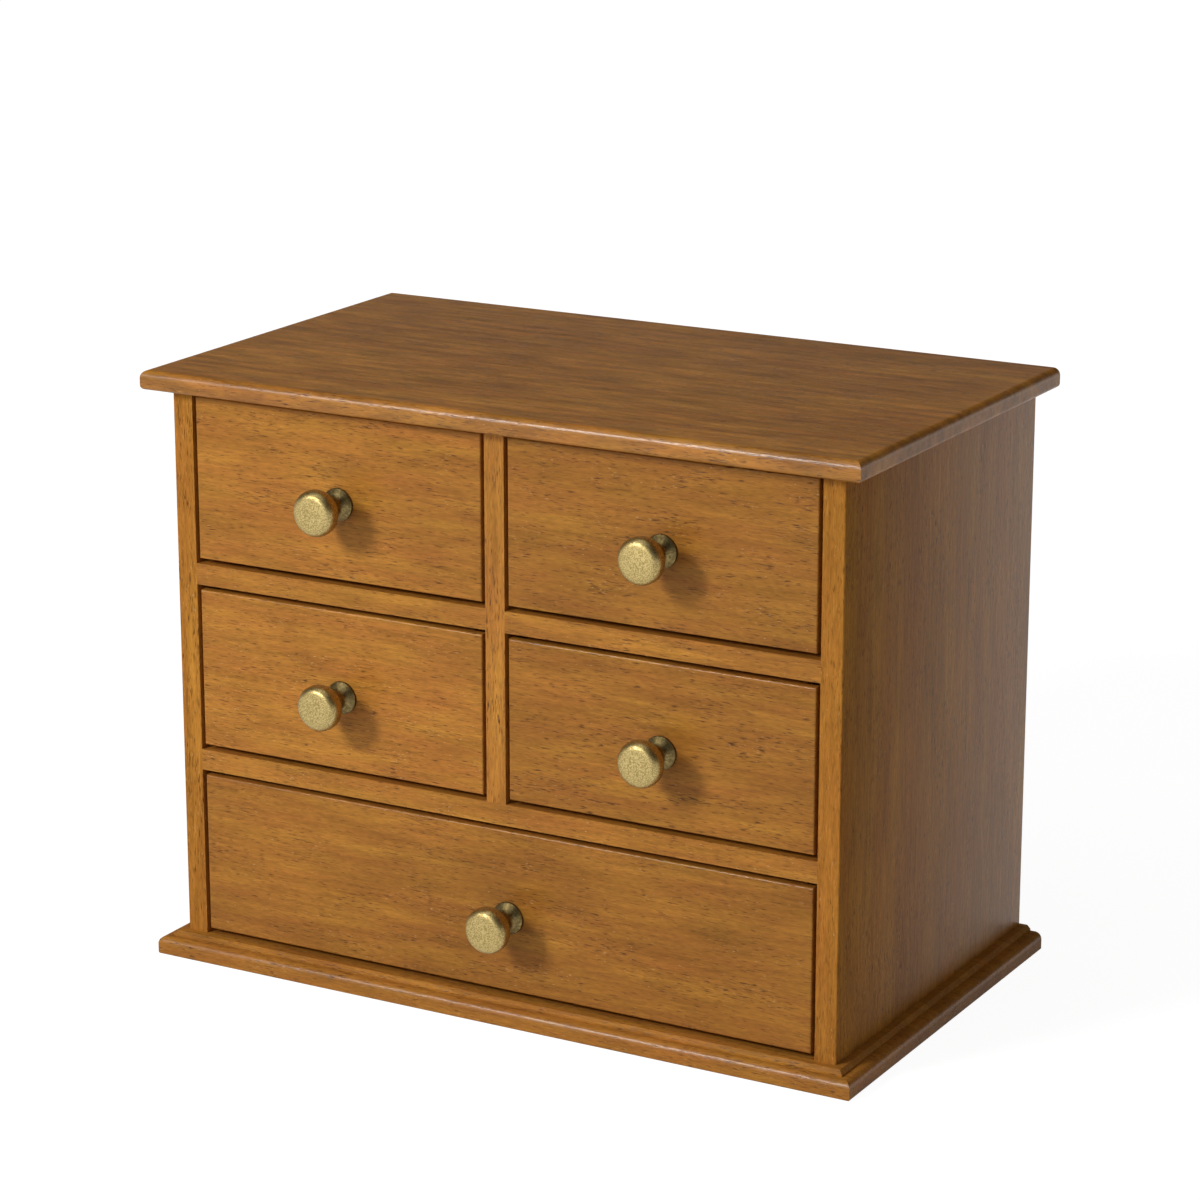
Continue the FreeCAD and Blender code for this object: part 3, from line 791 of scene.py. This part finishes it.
@dataclass
class Studio:
    """White table and surroundings, soft lamps and the camera."""

    camera_place: Vector = Vector((0.98535, -1.75268, 0.77086))
    camera_yaw: float = 0.5123
    camera_pitch: float = -0.2749
    camera_lens: float = 115.28
    floor_half: float = 14.0
    camera_reach: float = 60.0
    sky_light: float = 0.23
    horizon_light: float = 1.1
    horizon_band: tuple[float, float] = (0.08, 0.16)
    # Near the chest the floor's glow is lowered: painted shade
    shade_fade_reach: tuple[float, float] = (0.4, 2.2)
    shaded_glow_near: float = 0.93
    lit_white: str = "E7E7E7"
    shadow_white: str = "818181"
    lamps: tuple[Lamp, ...] = (
        Lamp("key", azimuth=-26.0, elevation=28.0, distance=2.4, side=0.5, power=31.5),
        Lamp("fill", azimuth=-10.0, elevation=6.0, distance=2.6, side=1.6, power=8.8),
        Lamp("overhead", azimuth=-20.0, elevation=70.0, distance=1.4, side=0.8, power=2.8))

    def add_camera(self) -> None:
        """Adds the camera at the photograph's viewing angle."""
        data = bpy.data.cameras.new("camera")
        data.lens = self.camera_lens
        data.clip_end = self.camera_reach
        camera = bpy.data.objects.new("camera", data)
        camera.location = self.camera_place
        camera.rotation_euler = (math.pi / 2 + self.camera_pitch, 0.0, self.camera_yaw)
        bpy.context.scene.collection.objects.link(camera)
        bpy.context.scene.camera = camera

    def add_floor(self) -> None:
        """Adds the white floor, which keeps a faint shadow of the chest, with its glow painted a little
        darker near the chest as painted shade.
        """
        half = self.floor_half
        corners = [Vector((x * half, y * half, 0.0)) for x, y in ((-1, -1), (1, -1), (1, 1), (-1, 1))]
        material, tree = new_tree("white_floor")
        path = add_node(tree, "ShaderNodeLightPath").outputs
        place = add_node(tree, "ShaderNodeTexCoord").outputs["Object"]
        far = add_node(tree, "ShaderNodeVectorMath", {0: place}, operation="LENGTH").outputs["Value"]
        # The glow is a little dimmer near the chest: painted shade, also seen in the chest's reflections
        glow_with_painted_shade = add_node(tree, "ShaderNodeMapRange",
                        {"Value": far, "From Min": self.shade_fade_reach[0], "From Max": self.shade_fade_reach[1],
                         "To Min": self.shaded_glow_near, "To Max": 1.0},
                        interpolation_type="SMOOTHSTEP").outputs[0]
        lit = add_node(tree, "ShaderNodeBsdfDiffuse", {0: linear_colour(self.lit_white)}).outputs[0]
        faint = add_node(tree, "ShaderNodeBsdfDiffuse", {0: linear_colour(self.shadow_white)}).outputs[0]
        white = add_node(tree, "ShaderNodeEmission", {"Strength": glow_with_painted_shade}).outputs[0]
        shown = add_node(tree, "ShaderNodeAddShader", {0: faint, 1: white}).outputs[0]
        seen = self.seen_directly(tree, path)
        mixed = add_node(tree, "ShaderNodeMixShader", {0: seen, 1: lit, 2: shown}).outputs[0]
        add_node(tree, "ShaderNodeOutputMaterial", {0: mixed})
        floor = add_mesh("floor", corners, [(0, 1, 2, 3)], material)
        floor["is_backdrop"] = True

    def seen_directly(self, tree: bpy.types.NodeTree,
                      path: bpy.types.NodeOutputs) -> bpy.types.NodeSocket:
        """Tells rays that show a surface from those that only light others by it.

        Args:
            tree: the node tree.
            path: the outputs of its Light Path node.

        Returns:
            1 for camera, glossy and transmission rays, and 0 for the rest.
        """
        bounced = add_node(tree, "ShaderNodeMath",
                           {0: path["Is Glossy Ray"], 1: path["Is Transmission Ray"]},
                           operation="MAXIMUM").outputs[0]
        return add_node(tree, "ShaderNodeMath", {0: path["Is Camera Ray"], 1: bounced},
                        operation="MAXIMUM").outputs[0]

    def set_world(self) -> None:
        """Surrounds the chest with white, softly lit, that mirrors only near the horizon."""
        world = bpy.data.worlds.new("surroundings")
        world.use_nodes = True
        tree = world.node_tree
        tree.nodes.clear()
        path = add_node(tree, "ShaderNodeLightPath").outputs
        way = add_node(tree, "ShaderNodeTexCoord").outputs["Generated"]
        height = add_node(tree, "ShaderNodeSeparateXYZ", {0: way}).outputs[2]
        horizon = add_node(tree, "ShaderNodeMapRange",
                           {"Value": height, "From Min": self.horizon_band[0],
                            "From Max": self.horizon_band[1],
                            "To Min": self.horizon_light, "To Max": 0.0}).outputs[0]
        mirrored = add_node(tree, "ShaderNodeMix",
                            {0: path["Is Glossy Ray"], 2: self.sky_light, 3: horizon}).outputs[0]
        direct = add_node(tree, "ShaderNodeMath",
                          {0: path["Is Camera Ray"], 1: path["Is Transmission Ray"]},
                          operation="MAXIMUM").outputs[0]
        strength = add_node(tree, "ShaderNodeMix", {0: direct, 2: mirrored, 3: 1.0}).outputs[0]
        white = add_node(tree, "ShaderNodeBackground", {1: strength}).outputs[0]
        add_node(tree, "ShaderNodeOutputWorld", {0: white})
        bpy.context.scene.world = world

    def build(self) -> None:
        """Sets up the camera, the floor, the surroundings and the lamps."""
        bpy.context.scene.view_settings.view_transform = "Standard"
        self.add_camera()
        self.add_floor()
        self.set_world()
        for lamp in self.lamps:
            lamp.build()


def main() -> None:
    """Builds the chest and its studio, and reports each piece."""
    low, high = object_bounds()
    Case().dress_boards()
    log.info("case: boards dressed")
    # Never handled and with no head above them, so without the knobs' dark foot of patina and painted
    # shade
    BackPins().build(TurnedBrass(high.y, high.y + 1.0, name="brassed_steel_pins").build())
    log.info("case: back pinned")
    brass = TurnedBrass(low.y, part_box("upper_left_front")[0].y).build()
    for seed, (name, tone) in enumerate(DRAWERS, start=1):
        drawer = Drawer(name, seed, tone)
        drawer.dress_boards()
        drawer.turn_knob(brass)
        log.info("drawer %s: boards dressed, knob turned", name)
    Studio().build()
    log.info("studio: camera, floor and lamps placed")


if __name__ == "__main__":
    main()
